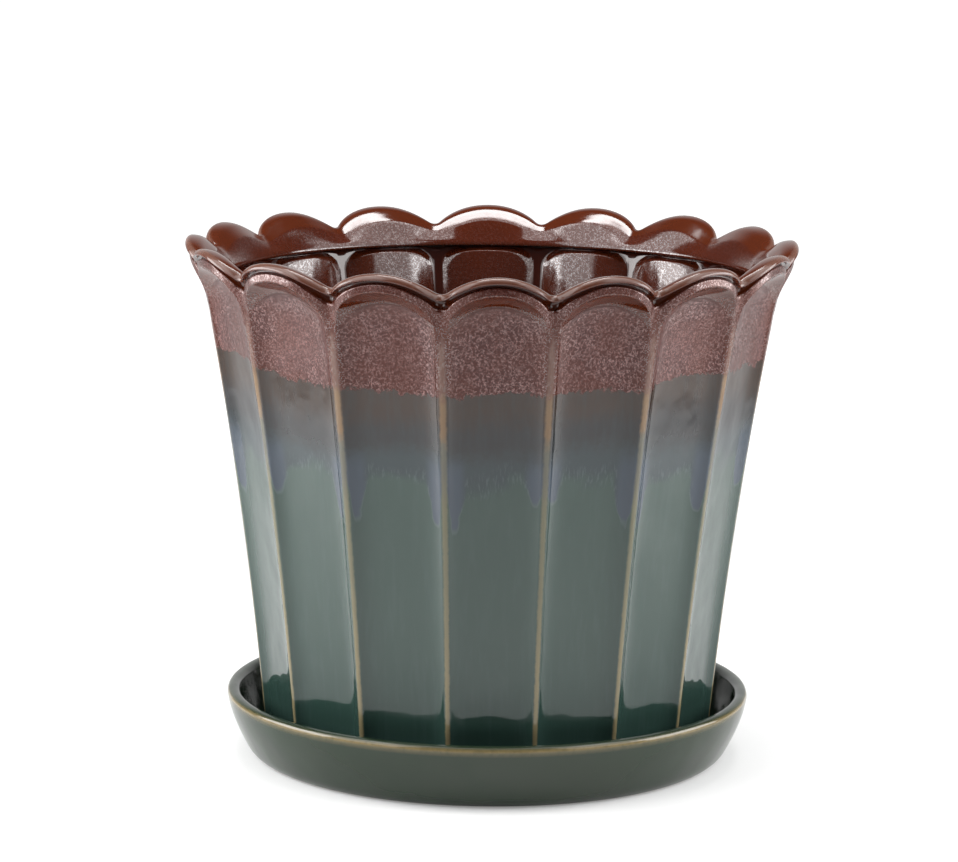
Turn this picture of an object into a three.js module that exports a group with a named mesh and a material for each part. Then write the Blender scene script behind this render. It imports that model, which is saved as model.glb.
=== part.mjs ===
import * as THREE from 'three';

// Glazed planter pot with a fluted wall and a rim of petals, standing in its own round saucer.
// Millimetres, +Z up. The origin is the middle of the saucer's foot, on the ground,
// and the first petal faces -Y.

// The pot's outer wall, measured over the ridges between its flutes
const petalCount = 16;
const potHeight = 175.4;
const footRadius = 77.5;
const throatRadius = 96.3;
const throatHeight = 145;
const wallCurve = 0.35;
const footBevel = 1.6;

// The flutes and the ridges between them
const fluteDepth = 3.2;
const ridgeWidth = 4.6;
const archFoot = 153;
const archTop = 168.7;
const archStub = 0.12;
const scoopPower = 3;

// The petals of the rim
const rimRadius = 105.6;
const petalDrop = 5.3;
const flareStart = 144;
const flareEnd = 163;
const cleftPower = 6;
const lipWidth = 5.2;
const lipRound = 1.5;
const lipFace = 3.6;
const lipFall = 4.2;

// The inside of the pot
const wallThickness = 4.2;
const floorThickness = 6;
const floorCorner = 5;
const ledgeRadius = 92.4;
const ledgeDepth = 12.6;
const ledgeRoot = 2.2;
const innerArchDrop = 10;

// The underside of the pot
const drainRadius = 7;
const footRingWidth = 10;
const footRecess = 1.8;

// The saucer
const saucerFloorThickness = 4.5;
const saucerHeight = 23;
const saucerFlare = 12.4;
const saucerWall = 4.2;
const saucerHeel = 4;
const saucerRingWidth = 7;
const saucerRecess = 1.2;
const saucerSides = 64;

// Clearances: the pot's foot over the saucer's floor, and the foot's edge to the saucer's wall
const seatGap = 0.3;
const footClearance = 1.2;

// One petal's columns of points, as shares of its half width: -1 and 1 are the ridges' crests
const petalPitch = (2 * Math.PI) / petalCount;
const fluteEdge = 1 - ridgeWidth / (throatRadius * petalPitch);
const petalColumns = [-1, -fluteEdge, -0.6, -0.3, 0, 0.3, 0.6, fluteEdge];

function smoothStep(low, high, value) {
  const share = THREE.MathUtils.clamp((value - low) / (high - low), 0, 1);
  return share * share * (3 - 2 * share);
}

// Radius of the ridges' crests: a cone that opens a little faster towards the top
function ridgeRadius(height) {
  const climb = height / throatHeight;
  const share = (1 - wallCurve) * climb + wallCurve * climb * climb;
  return footRadius + (throatRadius - footRadius) * share;
}

// The petals stand out beyond the cone, with a cleft between each two
const petalFlare = rimRadius - ridgeRadius(potHeight - lipFace);

function frameRadius(across, height) {
  const petal = 1 - Math.abs(across) ** cleftPower;
  return ridgeRadius(height) + petalFlare * petal * smoothStep(flareStart, flareEnd, height);
}

// Height of a round arch over a flute or an inside panel, at a place across the petal
function archHeight(across, foot, top) {
  const reach = Math.min(Math.abs(across) / fluteEdge, 1);
  return foot + (top - foot) * Math.max(archStub, Math.sqrt(1 - reach * reach));
}

// How much of a flute's depth is filled: 0 in its middle, 1 at its edge and outside it
function fluteFill(across, height, foot, top) {
  const side = Math.abs(across) / fluteEdge;
  const up = Math.max(0, (height - foot) / (top - foot));
  return Math.min(1, Math.hypot(side, up) ** scoopPower);
}

function outerRadius(across, height) {
  const panel = ridgeRadius(height) - fluteDepth;
  return panel + (frameRadius(across, height) - panel) * fluteFill(across, height, archFoot, archTop);
}

// The inside follows the flutes one wall inwards, under arches of its own
const innerArchFoot = archFoot - innerArchDrop;
const innerArchTop = archTop - innerArchDrop;

function innerRadius(across, height) {
  const fill = fluteFill(across, height, innerArchFoot, innerArchTop);
  return ridgeRadius(height) - wallThickness - fluteDepth * (1 - fill);
}

function rimHeight(across) {
  return potHeight - petalDrop * across * across;
}

// Points [radius, height] of one upright section, from the drain hole round the outside and back inside
function potSection(across) {
  const recess = footRecess;
  const ringInside = footRadius - fluteDepth - footBevel - footRingWidth;
  const foot = [
    [drainRadius, recess],
    [ringInside, recess],
    [ringInside - recess / 2, 0],
    [outerRadius(across, 0) - footBevel, 0],
  ];
  const crease = archHeight(across, archFoot, archTop);
  const rim = rimHeight(across);
  const face = rim - lipFace;
  const wallHeights = [footBevel, archFoot / 3, (2 * archFoot) / 3, archFoot];
  for (const share of [0.5, 0.8, 1]) wallHeights.push(archFoot + (crease - archFoot) * share);
  wallHeights.push((crease + face) / 2, face);
  const wall = wallHeights.map((height) => [outerRadius(across, height), height]);
  const edge = frameRadius(across, face);
  const lip = [
    [edge, rim - lipRound],
    [edge - lipRound, rim],
    [edge - lipWidth, rim - lipFall],
  ];
  const ledge = potHeight - ledgeDepth;
  const innerCrease = archHeight(across, innerArchFoot, innerArchTop);
  const collar = [
    [ledgeRadius, ledge],
    [innerRadius(1, ledge - ledgeRoot), ledge - ledgeRoot],
  ];
  const innerHeights = [innerCrease, innerArchFoot + (innerCrease - innerArchFoot) * 0.6, innerArchFoot];
  innerHeights.push((2 * innerArchFoot) / 3, innerArchFoot / 3, floorThickness + floorCorner);
  const inside = innerHeights.map((height) => [innerRadius(across, height), height]);
  const floor = [
    [innerRadius(across, floorThickness) - floorCorner, floorThickness],
    [drainRadius, floorThickness],
  ];
  return [...foot, ...wall, ...lip, ...collar, ...inside, ...floor];
}

// The pot is a turned ring whose section changes across each petal
function makePotGeometry() {
  const sections = petalColumns.map(potSection);
  const columns = petalCount * petalColumns.length;
  const firstSection = [...sections[0], sections[0][0]].map(([radius, height]) => new THREE.Vector2(radius, height));
  const geometry = new THREE.LatheGeometry(firstSection, columns);
  const position = geometry.attributes.position;
  const rows = firstSection.length;
  for (let column = 0; column <= columns; column += 1) {
    const turn = column % columns;
    const petal = Math.floor(turn / petalColumns.length);
    const phase = turn % petalColumns.length;
    const angle = (petal + petalColumns[phase] / 2) * petalPitch;
    for (let row = 0; row < rows; row += 1) {
      const [radius, height] = sections[phase][row % (rows - 1)];
      position.setXYZ(column * rows + row, radius * Math.sin(angle), -radius * Math.cos(angle), height);
    }
  }
  geometry.computeVertexNormals();
  return geometry;
}

// The saucer is turned about the same axis: a foot ring, a heel, a flared wall and a rounded rim
function makeSaucerGeometry() {
  const floorRadius = footRadius + footClearance;
  const rimOutside = floorRadius + saucerFlare;
  const rimInside = rimOutside - saucerWall;
  const outline = new THREE.Path();
  outline.moveTo(0, saucerRecess);
  outline.lineTo(floorRadius - saucerRingWidth - saucerRecess, saucerRecess);
  outline.lineTo(floorRadius - saucerRingWidth, 0);
  outline.lineTo(floorRadius, 0);
  outline.quadraticCurveTo(floorRadius + saucerHeel, 0, floorRadius + saucerHeel * 1.5, saucerHeel);
  outline.quadraticCurveTo(rimOutside - 1, saucerHeight * 0.6, rimOutside, saucerHeight - saucerWall / 2);
  outline.quadraticCurveTo(rimOutside, saucerHeight, rimOutside - saucerWall / 2, saucerHeight);
  outline.quadraticCurveTo(rimInside, saucerHeight, rimInside - 0.6, saucerHeight - saucerWall / 2);
  outline.quadraticCurveTo(rimInside - saucerWall / 2, saucerHeight / 2, floorRadius + saucerHeel, saucerHeel * 2);
  outline.quadraticCurveTo(floorRadius + saucerHeel / 2, saucerFloorThickness, floorRadius, saucerFloorThickness);
  outline.lineTo(0, saucerFloorThickness);
  const geometry = new THREE.LatheGeometry(outline.getPoints(3), saucerSides);
  geometry.rotateX(Math.PI / 2);
  return geometry;
}

const potGlaze = new THREE.MeshStandardMaterial({ color: 0x6d7a70, roughness: 0.12, metalness: 0 });
const saucerGlaze = new THREE.MeshStandardMaterial({ color: 0x4f6257, roughness: 0.12, metalness: 0 });

const planter = new THREE.Group();

const saucer = new THREE.Mesh(makeSaucerGeometry(), saucerGlaze);
saucer.name = 'saucer';
planter.add(saucer);

const pot = new THREE.Mesh(makePotGeometry(), potGlaze);
pot.name = 'fluted_pot';
pot.position.z = saucerFloorThickness + seatGap;
planter.add(pot);

export default planter;
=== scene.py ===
import math
from types import SimpleNamespace

import bmesh
import bpy
from mathutils import Matrix, Vector


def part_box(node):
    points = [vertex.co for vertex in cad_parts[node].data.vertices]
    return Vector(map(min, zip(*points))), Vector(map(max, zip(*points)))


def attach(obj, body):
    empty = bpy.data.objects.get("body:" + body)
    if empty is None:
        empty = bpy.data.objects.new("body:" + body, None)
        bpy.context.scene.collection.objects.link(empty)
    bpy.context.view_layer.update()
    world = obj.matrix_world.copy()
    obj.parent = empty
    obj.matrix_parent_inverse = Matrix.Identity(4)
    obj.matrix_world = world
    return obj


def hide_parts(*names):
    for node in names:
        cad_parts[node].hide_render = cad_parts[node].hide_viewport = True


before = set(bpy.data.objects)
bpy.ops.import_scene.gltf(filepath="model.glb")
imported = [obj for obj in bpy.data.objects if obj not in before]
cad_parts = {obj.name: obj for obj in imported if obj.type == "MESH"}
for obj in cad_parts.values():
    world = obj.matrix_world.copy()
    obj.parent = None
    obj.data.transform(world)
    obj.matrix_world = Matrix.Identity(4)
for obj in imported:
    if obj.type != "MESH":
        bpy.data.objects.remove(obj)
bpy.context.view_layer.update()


# The saucer is a cast dish with a foot ring, a flared wall and a rounded rim. It is glazed sage
# green but for the foot ring, which is wiped to the bare clay, and the glaze thins to tan on the
# rim's edge. It stands on the ground.
saucer_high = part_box("saucer")[1]
saucer_rim = saucer_high.x
saucer_height = saucer_high.z
saucer_flare = 0.0124
saucer_wall = 0.0042
saucer_heel = 0.004
saucer_floor_thickness = 0.0045
saucer_ring_width = 0.007
saucer_recess = 0.0012
saucer_print = 0.0004
saucer_print_start = 0.06
saucer_edge_spread = 0.00075
saucer_sides = 256
clay_roughness = 0.75
SAGE_GLAZE = (0.022, 0.035, 0.020)
DEEP_SAGE = (0.016, 0.031, 0.016)
BROKEN_TAN = (0.22, 0.165, 0.075)
BARE_CLAY = (0.42, 0.31, 0.20)


def bend(start, corner, end, steps):
    """Points after start on a curve that heads for corner and ends at end."""
    points = []
    for step in range(1, steps + 1):
        t = step / steps
        weights = ((1 - t) ** 2, 2 * t * (1 - t), t * t)
        pulls = tuple(zip(weights, (start, corner, end)))
        points.append(tuple(sum(weight * point[axis] for weight, point in pulls) for axis in (0, 1)))
    return points


def turn_ring(section, sides, closed):
    """Spins a section of (radius, height) points round the Z axis and numbers its rows."""
    ring = bmesh.new()
    row_of = ring.verts.layers.int.new("row")
    line = []
    for row, (radius, height) in enumerate(section):
        vert = ring.verts.new((0, -radius, height))
        vert[row_of] = row
        line.append(vert)
    ends = line[1:] + line[:1] if closed else line[1:]
    edges = [ring.edges.new(pair) for pair in zip(line, ends)]
    bmesh.ops.spin(
        ring, geom=line + edges, cent=(0, 0, 0), axis=(0, 0, 1), angle=2 * math.pi,
        steps=sides, use_merge=True,
    )
    return ring, row_of


def finish_piece(name, solid, material):
    """Merges the seam, turns the faces outwards, shades them smooth and makes the object."""
    bmesh.ops.remove_doubles(solid, verts=solid.verts, dist=1e-6)
    bmesh.ops.recalc_face_normals(solid, faces=solid.faces)
    for face in solid.faces:
        face.smooth = True
    mesh = bpy.data.meshes.new(name)
    solid.to_mesh(mesh)
    solid.free()
    mesh.materials.append(material)
    piece = bpy.data.objects.new(name, mesh)
    bpy.context.collection.objects.link(piece)
    return piece


class Nodes:
    """A node tree with short calls for adding and joining nodes."""

    def __init__(self, tree):
        self.tree = tree
        tree.nodes.clear()

    def add(self, kind, inputs=None, **settings):
        node = self.tree.nodes.new("ShaderNode" + kind)
        for key, value in settings.items():
            setattr(node, key, value)
        for key, value in (inputs or {}).items():
            self.put(node.inputs[key], value)
        return node

    def put(self, socket, value):
        if isinstance(value, bpy.types.NodeSocket):
            self.tree.links.new(value, socket)
        elif isinstance(value, tuple) and socket.type == "RGBA":
            socket.default_value = (*value, 1)
        else:
            socket.default_value = value

    def math(self, operation, *values, clamp=False):
        node = self.add("Math", operation=operation, use_clamp=clamp)
        for socket, value in zip(node.inputs, values):
            self.put(socket, value)
        return node.outputs[0]

    def times(self, product, *values):
        for value in values:
            product = self.math("MULTIPLY", product, value)
        return product

    def ramp(self, value, low, high, to_low=0.0, to_high=1.0):
        inputs = {"Value": value, "From Min": low, "From Max": high, "To Min": to_low, "To Max": to_high}
        return self.add("MapRange", inputs, interpolation_type="SMOOTHSTEP").outputs[0]

    def blend(self, factor, first, second):
        node = self.add("Mix", data_type="RGBA")
        self.put(node.inputs[0], factor)
        self.put(node.inputs[6], first)
        self.put(node.inputs[7], second)
        return node.outputs[2]

    def noise(self, place, scale, detail=2.0, roughness=0.5):
        inputs = {"Vector": place, "Scale": scale, "Detail": detail, "Roughness": roughness}
        return self.add("TexNoise", inputs).outputs[0]

    def stretch(self, place, scale):
        return self.add("Mapping", {"Vector": place, "Scale": scale}).outputs[0]

    def bump(self, height, distance, normal=None, strength=1.0):
        inputs = {"Height": height, "Strength": strength, "Distance": distance}
        if normal:
            inputs["Normal"] = normal
        return self.add("Bump", inputs).outputs[0]

    def attribute(self, name):
        return self.add("Attribute", attribute_name=name).outputs["Fac"]

    def group(self, tree, inputs):
        return self.add("Group", inputs, node_tree=tree).outputs


def new_material(name):
    material = bpy.data.materials.new(name)
    material.use_nodes = True
    return material, Nodes(material.node_tree)


def new_group(name, inputs, outputs):
    """A node group with the named sockets, and the sockets where its nodes start and end."""
    tree = bpy.data.node_groups.new(name, "ShaderNodeTree")
    for side, kinds in (("INPUT", inputs), ("OUTPUT", outputs)):
        for socket, kind in kinds.items():
            tree.interface.new_socket(socket, in_out=side, socket_type="NodeSocket" + kind)
    nodes = Nodes(tree)
    return nodes, tree.nodes.new("NodeGroupInput").outputs, tree.nodes.new("NodeGroupOutput").inputs


def make_bare_foot():
    """The group that wipes the glaze off a piece's foot, down to dry clay."""
    kinds = {"Foot": "Float", "Colour": "Color", "Roughness": "Float"}
    nodes, given, made = new_group("bare_foot", kinds, {"Colour": "Color", "Roughness": "Float"})
    dry = nodes.times(given["Foot"], clay_roughness)
    nodes.put(made["Colour"], nodes.blend(given["Foot"], given["Colour"], BARE_CLAY))
    nodes.put(made["Roughness"], nodes.math("MAXIMUM", given["Roughness"], dry))
    return nodes.tree


def make_glaze_waves():
    """The group that gives a poured glaze its broad swells and its finer ripple."""
    names = ("Swell", "Swell Depth", "Ripple", "Ripple Depth", "Strength")
    nodes, given, made = new_group("glaze_waves", {name: "Float" for name in names}, {"Normal": "Vector"})
    swell = nodes.bump(given["Swell"], given["Swell Depth"], strength=given["Strength"])
    rippled = nodes.bump(given["Ripple"], given["Ripple Depth"], swell, given["Strength"])
    nodes.put(made["Normal"], rippled)
    return nodes.tree


bare_foot = make_bare_foot()
glaze_waves = make_glaze_waves()


def make_saucer_glaze():
    """Sage green with darker clouds, tan where it thins on the rim's edge."""
    material, nodes = new_material("saucer_glaze")
    place = nodes.add("TexCoord").outputs["Object"]
    cloud = nodes.noise(place, 32.0, 2.0)
    grain = nodes.noise(place, 1400.0, 2.0)
    ripple = nodes.noise(place, 130.0, 1.0)
    patchy = nodes.ramp(nodes.noise(place, 500.0), 0.25, 0.6, 0.7, 1.0)
    body = nodes.blend(nodes.ramp(cloud, 0.35, 0.65), DEEP_SAGE, SAGE_GLAZE)
    thin = nodes.times(nodes.attribute("edge"), patchy)
    glazed = nodes.blend(thin, body, BROKEN_TAN)
    rough = nodes.ramp(grain, 0.3, 0.7, 0.08, 0.14)
    surface = nodes.group(bare_foot, {"Foot": nodes.attribute("foot"), "Colour": glazed, "Roughness": rough})
    waves = nodes.group(glaze_waves, {
        "Swell": cloud, "Swell Depth": 0.0006, "Ripple": ripple, "Ripple Depth": 0.00004, "Strength": 1.0,
    })
    shader = nodes.add("BsdfPrincipled", {
        "Base Color": surface["Colour"], "Roughness": surface["Roughness"], "IOR": 1.54,
        "Normal": waves["Normal"],
    })
    nodes.add("OutputMaterial", {"Surface": shader.outputs[0]})
    return material


def saucer_section():
    """Points (radius, height) from the axis underneath, out over the rim and back to the axis."""
    floor = saucer_rim - saucer_flare
    inside = saucer_rim - saucer_wall
    half = saucer_wall / 2
    ring_start = floor - saucer_ring_width
    heel = (floor + saucer_heel * 1.5, saucer_heel)
    belly = (saucer_rim - 0.001, saucer_height * 0.6)
    shoulder = (saucer_rim, saucer_height - half)
    inner_shoulder = (inside - 0.0006, saucer_height - half)
    inner_belly = (inside - half, saucer_height / 2)
    inner_heel = (floor + saucer_heel, saucer_heel * 2)
    floor_edge = (floor, saucer_floor_thickness)
    points = [(0, saucer_recess), (ring_start - saucer_recess, saucer_recess), (ring_start, 0), (floor, 0)]
    points += bend(points[-1], (floor + saucer_heel, 0), heel, 6)
    points += bend(heel, belly, shoulder, 10)
    points += bend(shoulder, (saucer_rim, saucer_height), (saucer_rim - half, saucer_height), 6)
    points += bend(points[-1], (inside, saucer_height), inner_shoulder, 6)
    points += bend(inner_shoulder, inner_belly, inner_heel, 8)
    points += bend(inner_heel, (floor + saucer_heel / 2, saucer_floor_thickness), floor_edge, 6)
    points += [(floor * 0.6, saucer_floor_thickness), (0, saucer_floor_thickness)]
    return points


section = saucer_section()
edge_radius = saucer_rim - 0.0001
edge_height = saucer_height - 0.0014
dish, row_of = turn_ring(section, saucer_sides, closed=False)
edge_of = dish.verts.layers.float.new("edge")
foot_of = dish.verts.layers.float.new("foot")
for vert in dish.verts:
    radius, height = section[vert[row_of]]
    from_edge = math.hypot(radius - edge_radius, height - edge_height)
    vert[edge_of] = math.exp(-(from_edge / saucer_edge_spread) ** 2)
    vert[foot_of] = 1.0 if height < saucer_print and radius > saucer_print_start else 0.0
saucer = finish_piece("glazed_saucer", dish, make_saucer_glaze())
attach(saucer, "saucer")
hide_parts("saucer")


# The pot is one casting: a fluted wall under round arches, a flared rim of petals with a rolled
# lip, a collar that slopes to a ledge inside, and a foot ring. Its glazes were poured over each
# other, rust red at the rim and green below, and ran. It stands loose in the saucer.
pot_low, pot_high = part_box("fluted_pot")
pot_seat = pot_low.z
pot_height = pot_high.z - pot_low.z
rim_radius = pot_high.x
petal_count = 16
petal_pitch = 2 * math.pi / petal_count
foot_radius = 0.0775
foot_bevel = 0.0016
foot_print = 0.0003
foot_ring_width = 0.010
foot_recess = 0.0018
drain_radius = 0.007
throat_radius = 0.0963
throat_height = 0.145
wall_curve = 0.35
wall_middle = 0.100
wall_thickness = 0.0038
floor_thickness = 0.006
floor_corner = 0.005
flute_depth = 0.0030
flute_deepening = 0.0014
flute_fillet = 0.55
fillet_power = 6
roof_fillet = 0.25
roof_power = 1.5
ridge_half_width = 0.00125
ridge_widening = 0.00095
ridge_widening_power = 2.2
ridge_crown = 0.0004
arch_foot = 0.1565
arch_top = 0.1694
arch_stub = 0.12
arch_power = 2
ridge_sinks = (arch_foot - 0.010, arch_foot + 0.004)
ridge_wear_ends = (arch_foot - 0.009, arch_foot + 0.002)
niche_reach = 0.42
niche_blend = 0.10
niche_line = 0.07
niche_pool_shade = 0.6
petal_drop = 0.0064
petal_round = 2.1
flare_starts = (0.146, 0.165)
cleft_power = 3.6
cleft_round = 0.88
cusp_deepening = 0.55
lip_bead = 0.0009
lip_cleft = 0.0050
lip_drop = 0.0034
lip_undercut = 0.0016
lip_low = 0.0021
lip_radius = 0.0019
round_cut = 0.293 * lip_radius
cove_depth = 0.0034
cove_lean = 0.0006
crown_share = 0.34
bevel_inside = 0.0949
bevel_slope = 0.80
bevel_stretch = (0.30, 0.92)
ledge_radius = 0.0912
ledge_edge = 0.0012
ledge_depth = 0.0126
ledge_root = 0.0022
ledge_height = pot_height - ledge_depth
root_height = ledge_height - ledge_root
pillow_depth = 0.0042
pillow_edge = 0.93
pillow_fillet = 0.15
pillow_rise = 0.0006
pillow_corner = 0.0065
inner_arch_top = root_height + pillow_rise
inner_arch_foot = inner_arch_top - pillow_corner - pillow_rise
inner_arch_power = 2.8
flute_columns = 26
half_flute = flute_columns // 2
ridge_columns = 6
band_plain = 0.25
inner_plain = 0.55
lip_plain = 0.9


def smooth_step(low, high, value):
    share = min(max((value - low) / (high - low), 0), 1)
    return share * share * (3 - 2 * share)


def ridge_radius(height):
    climb = height / throat_height
    share = (1 - wall_curve) * climb + wall_curve * climb * climb
    return foot_radius + (throat_radius - foot_radius) * share


def flute_edge(height):
    """The flute's half width as a share of the petal's, which leaves the ridge beside it."""
    level = min(height, arch_foot)
    ridge = ridge_half_width + ridge_widening * (level / arch_foot) ** ridge_widening_power
    return 1 - ridge / (ridge_radius(level) * petal_pitch / 2)


def depth_at(height):
    return flute_depth + flute_deepening * (min(height, arch_foot) / arch_foot) ** 1.5


def rounded_power(across, power):
    """The power of across, alike on both sides of a ridge, and eased near the ridge to be level on it."""
    reach = 1 - abs(1 - abs(across))
    if reach < cleft_round:
        return reach ** power
    slope = power * cleft_round ** (power - 1)
    beyond = reach - cleft_round
    return cleft_round ** power + slope * beyond * (1 - beyond / (2 * (1 - cleft_round)))


cusp_drop = petal_drop / rounded_power(1, petal_round)
petal_flare = rim_radius - lip_bead - ridge_radius(pot_height - lip_drop)


def petal_share(across):
    return 1 - rounded_power(across, cleft_power) / rounded_power(1, cleft_power)


def frame_radius(across, height):
    return ridge_radius(height) + petal_flare * petal_share(across) * smooth_step(*flare_starts, height)


def arch_reach(reach, height, foot, top, power):
    """How far a place is from the middle of the panel under an arch: 0 in its middle, 1 at its edge."""
    up = max(0, (height - foot) / (top - foot))
    return min(1, (reach ** power + up ** power) ** (1 / power)), min(1, up)


def arch_height(reach, foot, top, power):
    return foot + (top - foot) * max(arch_stub, max(0, 1 - reach ** power) ** (1 / power))


def outer_radius(across, height):
    edge = flute_edge(height)
    panel = ridge_radius(height) - depth_at(height)
    crown = ridge_crown * (1 - ((1 - abs(across)) / (1 - edge)) ** 2) if abs(across) > edge else 0
    crown *= 1 - smooth_step(*ridge_sinks, height)
    near, up = arch_reach(min(1, abs(across) / edge), height, arch_foot, arch_top, arch_power)
    fillet = flute_fillet + roof_fillet * up * up
    fill = (1 - fillet) * near * near + fillet * near ** (fillet_power - roof_power * up)
    return panel + (frame_radius(across, height) - panel) * fill + crown


def inner_radius(across, height):
    reach = min(1, abs(across) / pillow_edge)
    near, up = arch_reach(reach, height, inner_arch_foot, inner_arch_top, inner_arch_power)
    fill = (1 - pillow_fillet) * reach * reach + pillow_fillet * reach ** fillet_power
    fill += (1 - fill) * smooth_step(0.8, 1, near) * min(1, 2 * up)
    return ridge_radius(height) - wall_thickness - pillow_depth * (1 - fill)


def steps_between(start, end, count, crowd=0.0):
    """Even steps after start, or steps that crowd together towards the end."""
    shares = [step / count for step in range(1, count + 1)]
    return [start + (end - start) * (share + crowd * share * (1 - share)) for share in shares]


def between(first, last, share):
    return (first[0] + (last[0] - first[0]) * share, first[1] + (last[1] - first[1]) * share)


def across_at(column, height):
    """Where a column stands on its petal: 0 in the flute's middle, 1 on the ridge beside it."""
    edge = flute_edge(height)
    share = column / half_flute - 1
    if share <= 1:
        return edge * share * (1.5 - 0.5 * share * share)
    return edge + (1 - edge) * (column - flute_columns) / (ridge_columns / 2)


def glazed_points(points, across, plain=0, pooled_shade=0):
    """Adds to (radius, height) points how the glaze lies there: across, thin, plain, pooled.

    Thin is how near a point is to a worn crest, and on the lip's bead it is also a painted highlight;
    plain is how free of crystals its glaze is; and the last is how deep the glaze lies in a crease,
    together with painted shade in the creases, the channels and the cove under the lip."""
    return [(*point, across, 0, plain, pooled_shade) for point in points]


def foot_points(column):
    """From the drain hole, under the foot ring and round its edge to the wall."""
    across = across_at(column, 0)
    heel = outer_radius(across, 0)
    ring_inside = foot_radius - flute_depth - foot_bevel - foot_ring_width
    points = [(drain_radius, foot_recess), (ring_inside, foot_recess), (ring_inside - foot_recess / 2, 0)]
    points.append((heel - foot_bevel, 0))
    points += bend(points[-1], (heel, 0), (outer_radius(across, foot_bevel), foot_bevel), 4)
    return glazed_points(points, across)


def wall_point(column, height):
    across = across_at(column, height)
    edge = flute_edge(height)
    crest = max(0, 1 - abs(1 - abs(across)) / (1 - edge))
    crest *= 1 - smooth_step(*ridge_wear_ends, height)
    near, up = arch_reach(min(1, abs(across) / edge), height, arch_foot, arch_top, arch_power)
    niche = 1 - niche_reach * up
    plain = smooth_step(niche - niche_blend, niche, near) * (0.45 + 0.45 * up)
    off_line = (near - niche) / niche_line + 1
    # Painted shade, partly glaze pooling: a dark line along the crease under each arch's roof.
    pooled_shade = niche_pool_shade * max(0, 1 - off_line * off_line) * smooth_step(0.15, 0.6, up)
    return (outer_radius(across, height), height, across, crest, plain, pooled_shade)


def wall_points(column, crease):
    """Up the flute or the ridge to the crease under the petal's arch."""
    heights = steps_between(foot_bevel, wall_middle, 10) + steps_between(wall_middle, arch_foot, 12)
    heights += steps_between(arch_foot, crease, 22, 0.75)
    return [wall_point(column, height) for height in heights]


def lip_points(across, crease, edge, rim):
    """The band over the arch, the cove under the rolled lip, and the lip up to its crown."""
    none = (0, 0, 0, 0, 0)
    sink = rounded_power(across, 2)
    root = rim - lip_drop * (1 + cusp_deepening * sink)
    arch_crest = (frame_radius(across, crease), crease)
    band_top = (edge - lip_undercut * (1 - 0.4 * sink), root)
    hollow = (edge - cove_depth, root + 0.0001)
    cove = (hollow[0] + cove_lean, rim - lip_low)
    underside = (edge - 0.0001, rim - lip_low - 0.0002)
    low = (edge, rim - lip_radius)
    shoulder = (edge - round_cut, rim - round_cut)
    crown = (edge - lip_radius, rim)
    band = [between(arch_crest, band_top, step / 6) for step in range(1, 7)]
    stretches = (
        # Painted shade: the cove and the lip's underside darken, most in the middle of each petal.
        (bend(band_top, hollow, cove, 5), none, (0.2, 0.8, 1.0, 1.0, 1.0)),
        (bend(cove, underside, low, 4), (0, 0, 0.05, 0.2), (0.9, 0.4, 0.1, 0)),
        # Painted highlight, partly the glaze thinning on the lip's edge: the bead's outer top is lightened.
        (bend(low, (edge, rim - 2 * round_cut), shoulder, 4), (0.35, 0.5, 0.62, 0.7), none),
        (bend(shoulder, (edge - 2 * round_cut, rim), crown, 4), (0.7, 0.6, 0.45, 0.25), none),
    )
    points = glazed_points(band, across, band_plain)
    shade = 0.75 - 0.5 * sink
    for stretch, thins, depths in stretches:
        for point, thin, depth in zip(stretch, thins, depths):
            points.append((*point, across, thin, lip_plain, shade * depth))
    return points


def collar_points(across, edge, rim):
    """From the lip's crown down the bevel and the sloping collar, and round the ledge's edge."""
    crown = (edge - lip_radius, rim)
    lean = between(crown, (bevel_inside, rim), crown_share)
    bevel_foot = (bevel_inside, rim - bevel_slope * (lean[0] - bevel_inside))
    bevel_top, bevel_end = (between(lean, bevel_foot, share) for share in bevel_stretch)
    bevel = bend(crown, lean, bevel_top, 5)
    bevel += [between(bevel_top, bevel_end, step / 3) for step in (1, 2, 3)]
    collar_end = (ledge_radius + 0.0008, ledge_height + ledge_edge)
    ledge_under = (ledge_radius + 0.0002, ledge_height - 0.0010)
    collar = bend(bevel_end, bevel_foot, between(bevel_foot, collar_end, 0.12), 4)
    collar += bend(collar[-1], between(collar[-1], collar_end, 0.5), collar_end, 5)
    collar += bend(collar_end, (ledge_radius, ledge_height), ledge_under, 4)
    under = (inner_radius(across, root_height), root_height)
    crease = bend(collar[-1], (under[0], ledge_height - ledge_edge), under, 4)
    points = glazed_points(bevel, across, lip_plain) + glazed_points(collar, across, inner_plain)
    # Painted shade, partly glaze pooling: the crease under the ledge is darkened.
    return points + glazed_points(crease, across, inner_plain, 1)


def inside_points(across):
    """Down the inner wall, over its pillows and channels, and across the floor to the drain hole."""
    reach = min(1, abs(across) / pillow_edge)
    crease = arch_height(reach, inner_arch_foot, inner_arch_top, inner_arch_power)
    crease = min(root_height - 0.0006, crease)
    heights = steps_between(root_height, crease, 3)
    heights += reversed([inner_arch_foot, *steps_between(inner_arch_foot, crease, 12, 0.7)[:-1]])
    heights += steps_between(inner_arch_foot, floor_thickness + floor_corner, 12)
    points = []
    for height in heights:
        near, up = arch_reach(reach, height, inner_arch_foot, inner_arch_top, inner_arch_power)
        wall = [(inner_radius(across, height), height)]
        # Painted shade, partly glaze pooling: the channels between the pillows and the crease under the
        # ledge darken.
        points += glazed_points(wall, across, inner_plain, smooth_step(0.96, 1.0, near))
    corner = inner_radius(across, floor_thickness)
    floor_start = (corner - floor_corner, floor_thickness)
    floor = bend(points[-1][:2], (corner, floor_thickness), floor_start, 5)
    floor += [((floor_start[0] + drain_radius) / 2, floor_thickness), (drain_radius, floor_thickness)]
    return points + glazed_points(floor, across, inner_plain)


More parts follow.
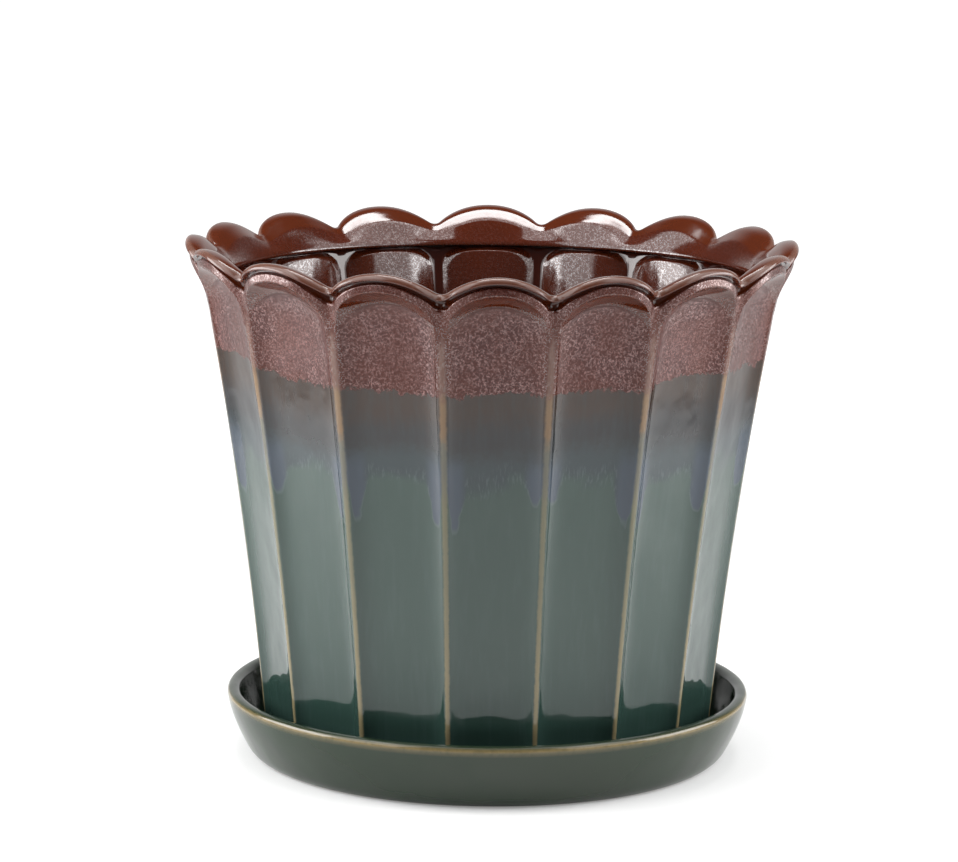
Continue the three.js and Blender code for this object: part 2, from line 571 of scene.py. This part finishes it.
def pot_section(column):
    """Points (radius, height, across, thin, plain, pooled) of one upright section, out and back in."""
    across = across_at(column, arch_foot)
    crease = arch_height(min(1, abs(across) / flute_edge(arch_foot)), arch_foot, arch_top, arch_power)
    rim = pot_height - cusp_drop * rounded_power(across, petal_round)
    edge = rim_radius - lip_cleft * (1 - petal_share(across))
    points = foot_points(column) + wall_points(column, crease) + lip_points(across, crease, edge, rim)
    return points + collar_points(across, edge, rim) + inside_points(across)


def petal_warp(angle):
    """The angle by which the hand-made petals stray from an even spacing, up to about two degrees."""
    stray = 0.75 * math.cos(2 * angle + 1.13) + 1.1 * math.cos(3 * angle + 0.92)
    return math.radians(stray + 0.45 * (1 - math.cos(angle)))


CLEAR_RUST = (0.082, 0.0140, 0.0026)
RUST_GLAZE = (0.063, 0.0110, 0.0052)
PLUM_GLAZE = (0.056, 0.0120, 0.0090)
# Painted shade: the dark rust of the creases and of the cove under the lip, partly glaze pooling there.
SHADED_POOL_RUST = (0.045, 0.0065, 0.0026)
PALE_CRYSTAL = (0.32, 0.070, 0.050)
TAUPE_GLAZE = (0.033, 0.018, 0.011)
SLATE_GLAZE = (0.020, 0.019, 0.020)
TEAL_GREY = (0.027, 0.040, 0.044)
MAUVE_DRIP = (0.040, 0.055, 0.075)
MILKY_WISP = (0.080, 0.110, 0.120)
GREEN_GLAZE = (0.034, 0.060, 0.050)
GREEN_FOOT = (0.022, 0.046, 0.038)
RIDGE_TAN = (0.20, 0.165, 0.090)
RIDGE_SAGE = (0.140, 0.130, 0.078)
RIDGE_SLATE = (0.110, 0.105, 0.080)
RIDGE_BROWN = (0.18, 0.110, 0.055)
# This red also lightens the lip's bead, as a painted highlight.
RIDGE_RED = (0.125, 0.055, 0.038)
rust_starts = (0.1416, 0.1425)
taupe_starts = (0.126, 0.137)
slate_starts = (0.115, 0.125)
milky_starts = (0.1065, 0.1135)
green_starts = (0.02, 0.07)
tongue_starts = (0.1085, 0.1105)
tongue_ends = (0.112, 0.124)
drip_line_starts = (0.1075, 0.1088)
drip_line_ends = (0.1088, 0.1105)
hairs_start = (0.1065, 0.1095)
hairs_end = (0.1120, 0.1165)
drip_sides = (0.55, 0.75)
drip_lengths = (0.006, 0.017)
ridge_colour_steps = (
    (0.040, 0.085, RIDGE_SAGE),
    (0.100, 0.114, RIDGE_SLATE),
    (0.122, 0.129, RIDGE_BROWN),
    (0.139, 0.144, RIDGE_RED),
)


def read_marks(nodes):
    """What the glazes follow: the place on the pot, the marks in its mesh and the chance patterns."""
    place = nodes.add("TexCoord").outputs["Object"]
    height = nodes.add("SeparateXYZ", {"Vector": place}).outputs["Z"]
    turn = nodes.add("SeparateXYZ", {"Vector": nodes.add("UVMap", uv_map="petals").outputs[0]}).outputs["X"]
    petal = nodes.math("ROUND", turn)
    offset = nodes.math("SUBTRACT", turn, petal)
    flank = nodes.math("ADD", nodes.math("MULTIPLY", petal, 2.0), nodes.math("SIGN", offset))
    cloud = nodes.noise(place, 28.0, 2.0)
    ragged = nodes.noise(place, 420.0, 3.0, 0.65)
    sway = nodes.ramp(cloud, 0.3, 0.7, -0.0025, 0.0025)
    fray = nodes.ramp(ragged, 0.2, 0.8, -0.0014, 0.0014)
    return SimpleNamespace(
        place=place,
        height=height,
        level=nodes.math("ADD", nodes.math("ADD", height, sway), fray),
        reach=nodes.math("MULTIPLY", nodes.math("ABSOLUTE", offset), 2.0),
        chance=nodes.add("TexWhiteNoise", {"W": flank}, noise_dimensions="1D").outputs["Value"],
        thin=nodes.attribute("thin"),
        plain=nodes.attribute("plain"),
        pooled_shade=nodes.attribute("pooled_shade"),
        cloud=cloud,
        ragged=ragged,
        patch=nodes.noise(place, 75.0, 2.0),
        streak=nodes.noise(nodes.stretch(place, (1.0, 1.0, 0.06)), 420.0, 3.0, 0.6),
    )


def rust_glaze(nodes, marks):
    """Rust and plum in patches under a net of pale crystals, which leaves out creases and plain places, with
    a darker rust in the creases that is partly glaze pooling and partly painted shade.
    """
    vein = nodes.noise(marks.place, 720.0, 2.0, 0.65)
    speck = nodes.noise(marks.place, 1500.0, 1.0)
    from_vein = nodes.math("ABSOLUTE", nodes.math("SUBTRACT", vein, 0.5))
    crystal = nodes.times(
        nodes.ramp(from_vein, 0.015, 0.065, 1.0, 0.0),
        nodes.ramp(speck, 0.40, 0.58, 0.25, 1.0),
        nodes.ramp(marks.patch, 0.3, 0.65, 0.6, 1.0),
        nodes.ramp(marks.pooled_shade, 0.0, 0.6, 1.0, 0.0),
    )
    rust = nodes.blend(nodes.ramp(marks.patch, 0.35, 0.65), RUST_GLAZE, PLUM_GLAZE)
    rust = nodes.blend(marks.plain, rust, CLEAR_RUST)
    tint = nodes.times(crystal, nodes.ramp(marks.plain, 0.0, 0.8, 0.34, 0.0))
    rust = nodes.blend(tint, rust, PALE_CRYSTAL)
    return nodes.blend(marks.pooled_shade, rust, SHADED_POOL_RUST), crystal


def green_glaze(nodes, marks):
    """Green, dark at the foot, with a milky edge above that ran down beside the ridges."""
    hair = nodes.noise(nodes.stretch(marks.place, (1.0, 1.0, 0.16)), 1500.0, 2.0, 0.6)
    beside_ridge = nodes.ramp(marks.reach, *drip_sides)
    drip = nodes.times(nodes.ramp(marks.reach, 0.55, 0.80), nodes.ramp(marks.reach, 0.86, 0.98, 1.0, 0.0))
    run = nodes.times(drip, nodes.ramp(marks.chance, 0.0, 1.0, *drip_lengths))
    uneven = nodes.ramp(marks.patch, 0.3, 0.7, -0.003, 0.003)
    fall = nodes.math("ADD", nodes.math("ADD", marks.height, run), uneven)
    tongue = nodes.times(
        nodes.ramp(fall, *tongue_starts),
        beside_ridge,
        nodes.ramp(marks.height, *tongue_ends, 1.0, 0.0),
    )
    line = nodes.times(
        nodes.ramp(fall, *drip_line_starts),
        nodes.ramp(fall, *drip_line_ends, 1.0, 0.0),
        nodes.ramp(marks.reach, *drip_sides, 0.0, 0.35),
    )
    hairs = nodes.times(
        nodes.ramp(hair, 0.50, 0.66),
        nodes.ramp(fall, *hairs_start),
        nodes.ramp(fall, *hairs_end, 0.35, 0.0),
        nodes.ramp(marks.reach, 0.60, 0.80, 1.0, 0.0),
    )
    green = nodes.blend(nodes.ramp(marks.height, *green_starts), GREEN_FOOT, GREEN_GLAZE)
    green = nodes.blend(nodes.ramp(marks.streak, 0.45, 0.75, 0.0, 0.08), green, MILKY_WISP)
    green = nodes.blend(nodes.ramp(fall, *milky_starts), green, TEAL_GREY)
    green = nodes.blend(tongue, green, MAUVE_DRIP)
    return nodes.blend(nodes.math("ADD", hairs, line), green, MILKY_WISP)


def middle_glaze(nodes, marks):
    """Slate below and taupe above, where the two pours overlap, with thin grey streaks."""
    middle = nodes.blend(nodes.ramp(marks.level, *taupe_starts), SLATE_GLAZE, TAUPE_GLAZE)
    return nodes.blend(nodes.ramp(marks.streak, 0.4, 0.75, 0.0, 0.25), middle, TEAL_GREY)


def ridge_glaze(nodes, marks):
    """The thin glaze on the ridges' crests, tan at the foot and red at the rim; the red also lightens the
    lip's bead as a painted highlight.
    """
    colour = RIDGE_TAN
    for start, end, ridge_colour in ridge_colour_steps:
        colour = nodes.blend(nodes.ramp(marks.level, start, end), colour, ridge_colour)
    return colour


def make_pot_glaze():
    material, nodes = new_material("pot_glaze")
    marks = read_marks(nodes)
    red = nodes.ramp(marks.level, *rust_starts)
    slate = nodes.ramp(marks.level, *slate_starts)
    rust, crystal = rust_glaze(nodes, marks)
    body = nodes.blend(slate, green_glaze(nodes, marks), middle_glaze(nodes, marks))
    body = nodes.blend(red, body, rust)
    # On the ridges the crest colour is thin glaze; on the lip's bead it is partly a painted highlight.
    worn = nodes.math("ADD", marks.thin, nodes.ramp(marks.ragged, 0.2, 0.8, -0.10, 0.10))
    glazed = nodes.blend(nodes.ramp(worn, 0.10, 0.72), body, ridge_glaze(nodes, marks))

    glitter = nodes.times(red, crystal, nodes.ramp(marks.plain, 0.6, 0.85, 1.0, 0.0))
    off_crest = nodes.math("SUBTRACT", red, marks.thin, clamp=True)
    lustre = nodes.times(off_crest, nodes.ramp(marks.plain, 0.3, 0.6, 0.3, 0.0))
    mottle = nodes.noise(marks.place, 420.0, 2.0, 0.6)
    satin = nodes.times(red, nodes.ramp(marks.plain, 0.1, 0.5, 0.26, 0.039))
    rough = nodes.math("ADD", nodes.ramp(mottle, 0.3, 0.7, 0.05, 0.09), satin)
    rough = nodes.math("ADD", rough, nodes.times(red, marks.thin, 0.15))
    rough = nodes.math("MAXIMUM", rough, nodes.times(red, marks.pooled_shade, 0.1))

    surface = nodes.group(bare_foot, {"Foot": nodes.attribute("foot"), "Colour": glazed, "Roughness": rough})
    waves = nodes.group(glaze_waves, {
        "Swell": marks.cloud, "Swell Depth": 0.0012, "Ripple": marks.patch, "Ripple Depth": 0.00025,
        "Strength": nodes.ramp(marks.plain, 0.0, 0.7, 1.0, 0.3),
    })
    shader = nodes.add("BsdfPrincipled", {
        "Base Color": surface["Colour"], "Roughness": surface["Roughness"], "Metallic": lustre, "IOR": 1.56,
        "Coat Weight": glitter, "Coat Roughness": 0.12, "Coat IOR": 1.9, "Normal": waves["Normal"],
    })
    nodes.add("OutputMaterial", {"Surface": shader.outputs[0]})
    return material


columns_per_petal = flute_columns + ridge_columns
sections = [pot_section(column) for column in range(columns_per_petal)]
columns = petal_count * columns_per_petal
body, row_of = turn_ring([point[:2] for point in sections[half_flute]], columns, closed=True)
thin_and_sheen_of, plain_of, pooled_shade_of, foot_of, turn_of = (
    body.verts.layers.float.new(name) for name in ("thin", "plain", "pooled_shade", "foot", "turn")
)
for vert in body.verts:
    step = round(math.atan2(vert.co.x, -vert.co.y) / (2 * math.pi) * columns) % columns
    petal, column = divmod(step + half_flute, columns_per_petal)
    radius, height, across, thin, plain, pooled_shade = sections[column][vert[row_of]]
    turn = petal + across / 2
    angle = turn * petal_pitch
    angle += petal_warp(angle)
    vert.co = (radius * math.sin(angle), -radius * math.cos(angle), height + pot_seat)
    vert[thin_and_sheen_of] = thin
    vert[plain_of] = plain
    vert[pooled_shade_of] = pooled_shade
    vert[foot_of] = 1.0 if height < foot_print else 0.0
    vert[turn_of] = turn
petals_map = body.loops.layers.uv.new("petals")
for face in body.faces:
    turns = [loop.vert[turn_of] for loop in face.loops]
    seam = max(turns) - min(turns) > petal_count / 2
    for loop, turn in zip(face.loops, turns):
        wrapped = turn + petal_count if seam and turn < petal_count / 2 else turn
        loop[petals_map].uv = (wrapped, loop.vert.co.z)
pot = finish_piece("glazed_pot", body, make_pot_glaze())
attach(pot, "pot")
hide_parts("fluted_pot")


# The floor is a plain white sweep. Away from the pot it glows to the white of the studio, about
# half as much where the glaze mirrors it. Near the pot the lamps light it to keep the shadow,
# which a weak glow there, a painted fill light, makes paler.
# Each glow changes over a stretch of distances from the middle, from one level to another.
floor_size = 30.0
near_glow = (0.12, 0.30, 0.22, 0.05)
middle_glow = (0.26, 0.85, 0.0, 0.75)
far_glow = (0.8, 2.0, 0.0, 0.22)
mirrored_glow = 0.45
FLOOR_WHITE = (0.74, 0.74, 0.74)
ground = bmesh.new()
bmesh.ops.create_grid(ground, x_segments=1, y_segments=1, size=floor_size / 2)
floor_material, floor_nodes = new_material("floor")
matte = floor_nodes.add("BsdfDiffuse", {"Color": FLOOR_WHITE})
spot = floor_nodes.add("TexCoord").outputs["Object"]
from_middle = floor_nodes.add("VectorMath", {0: spot}, operation="LENGTH").outputs["Value"]
ray = floor_nodes.add("LightPath").outputs
mirrored = floor_nodes.math("MULTIPLY", ray["Is Glossy Ray"], mirrored_glow)
seen = floor_nodes.math("ADD", ray["Is Camera Ray"], mirrored)
seen = floor_nodes.math("ADD", seen, ray["Is Transmission Ray"], clamp=True)
spread = floor_nodes.ramp(from_middle, *near_glow)
for wider_glow in (middle_glow, far_glow):
    spread = floor_nodes.math("ADD", spread, floor_nodes.ramp(from_middle, *wider_glow))
glow_level = floor_nodes.math("MULTIPLY", seen, spread)
glow = floor_nodes.add("Emission", {"Color": (1.0, 1.0, 1.0), "Strength": glow_level})
both = floor_nodes.add("AddShader", {0: matte.outputs[0], 1: glow.outputs[0]})
floor_nodes.add("OutputMaterial", {"Surface": both.outputs[0]})
floor = finish_piece("floor", ground, floor_material)


# The light is plain soft studio light: a dim room, a large softbox and a low one on each side, a
# wide one overhead and a strip above the back. The glaze also mirrors a pale backdrop behind.
room_grey = 0.08
backdrop_reach = (0.55, 0.95, 0.0, 0.70)
world = bpy.data.worlds.new("studio")
bpy.context.scene.world = world
world.use_nodes = True
room = Nodes(world.node_tree)
room_ray = room.add("LightPath").outputs
way = room.add("SeparateXYZ", {"Vector": room.add("TexCoord").outputs["Generated"]}).outputs["Y"]
behind = room.math("MULTIPLY", room_ray["Is Glossy Ray"], room.ramp(way, *backdrop_reach))
white = room.math("MAXIMUM", room_ray["Is Camera Ray"], behind)
walls = room.math("MAXIMUM", white, room_grey)
backdrop = room.add("Background", {"Color": (1.0, 1.0, 1.0), "Strength": walls})
room.add("OutputWorld", {"Surface": backdrop.outputs[0]})


def add_softbox(name, place, target, size, level):
    """A rectangular softbox whose face has the given radiance."""
    width, height = size
    light = bpy.data.lights.new(name, "AREA")
    light.shape = "RECTANGLE"
    light.size = width
    light.size_y = height
    light.energy = level * math.pi * width * height
    lamp = bpy.data.objects.new(name, light)
    lamp.location = place
    lamp.rotation_mode = "QUATERNION"
    lamp.rotation_quaternion = (Vector(target) - Vector(place)).to_track_quat("-Z", "Y")
    bpy.context.collection.objects.link(lamp)


side_size = (0.92, 0.84)
low_size = (0.34, 0.26)
add_softbox("left_softbox", (-0.56, -0.34, 0.62), (0, -0.34, 0.56), side_size, 2.7)
add_softbox("right_softbox", (0.56, -0.34, 0.62), (0, -0.34, 0.56), side_size, 1.95)
add_softbox("low_left_softbox", (-0.44, -0.02, 0.19), (0, -0.02, 0.17), low_size, 6.0)
add_softbox("low_right_softbox", (0.44, -0.02, 0.19), (0, -0.02, 0.17), low_size, 5.2)
add_softbox("top_softbox", (0, -0.18, 1.20), (0, -0.18, 0.0), (1.60, 0.60), 2.1)
add_softbox("back_softbox", (0, 0.26, 1.35), (0, 0.08, 0.17), (0.85, 0.20), 17.0)


# The camera stands where the photograph was taken, a little above the rim. The object was turned
# a touch on its stand, so the camera goes round it by as much, and its aim is set in degrees.
camera_distance = 1.3152
camera_height = 0.3400
camera_aside = 0.001
lens = 144.28
pitch = 9.800
heading = 0.21
roll = 0.605
stand_turn = -0.33
camera_data = bpy.data.cameras.new("camera")
camera_data.lens = lens
camera_data.sensor_width = 36.0
camera = bpy.data.objects.new("camera", camera_data)
around = Matrix.Rotation(math.radians(stand_turn), 4, "Z")
place = around @ Matrix.Translation((camera_aside, -camera_distance, camera_height))
aim = Matrix.Rotation(math.radians(heading), 4, "Z") @ Matrix.Rotation(math.radians(90 - pitch), 4, "X")
aim = around @ aim @ Matrix.Rotation(math.radians(roll), 4, "Z")
camera.matrix_world = Matrix.Translation(place.translation) @ aim
bpy.context.collection.objects.link(camera)
bpy.context.scene.camera = camera
bpy.context.scene.view_settings.view_transform = "Standard"
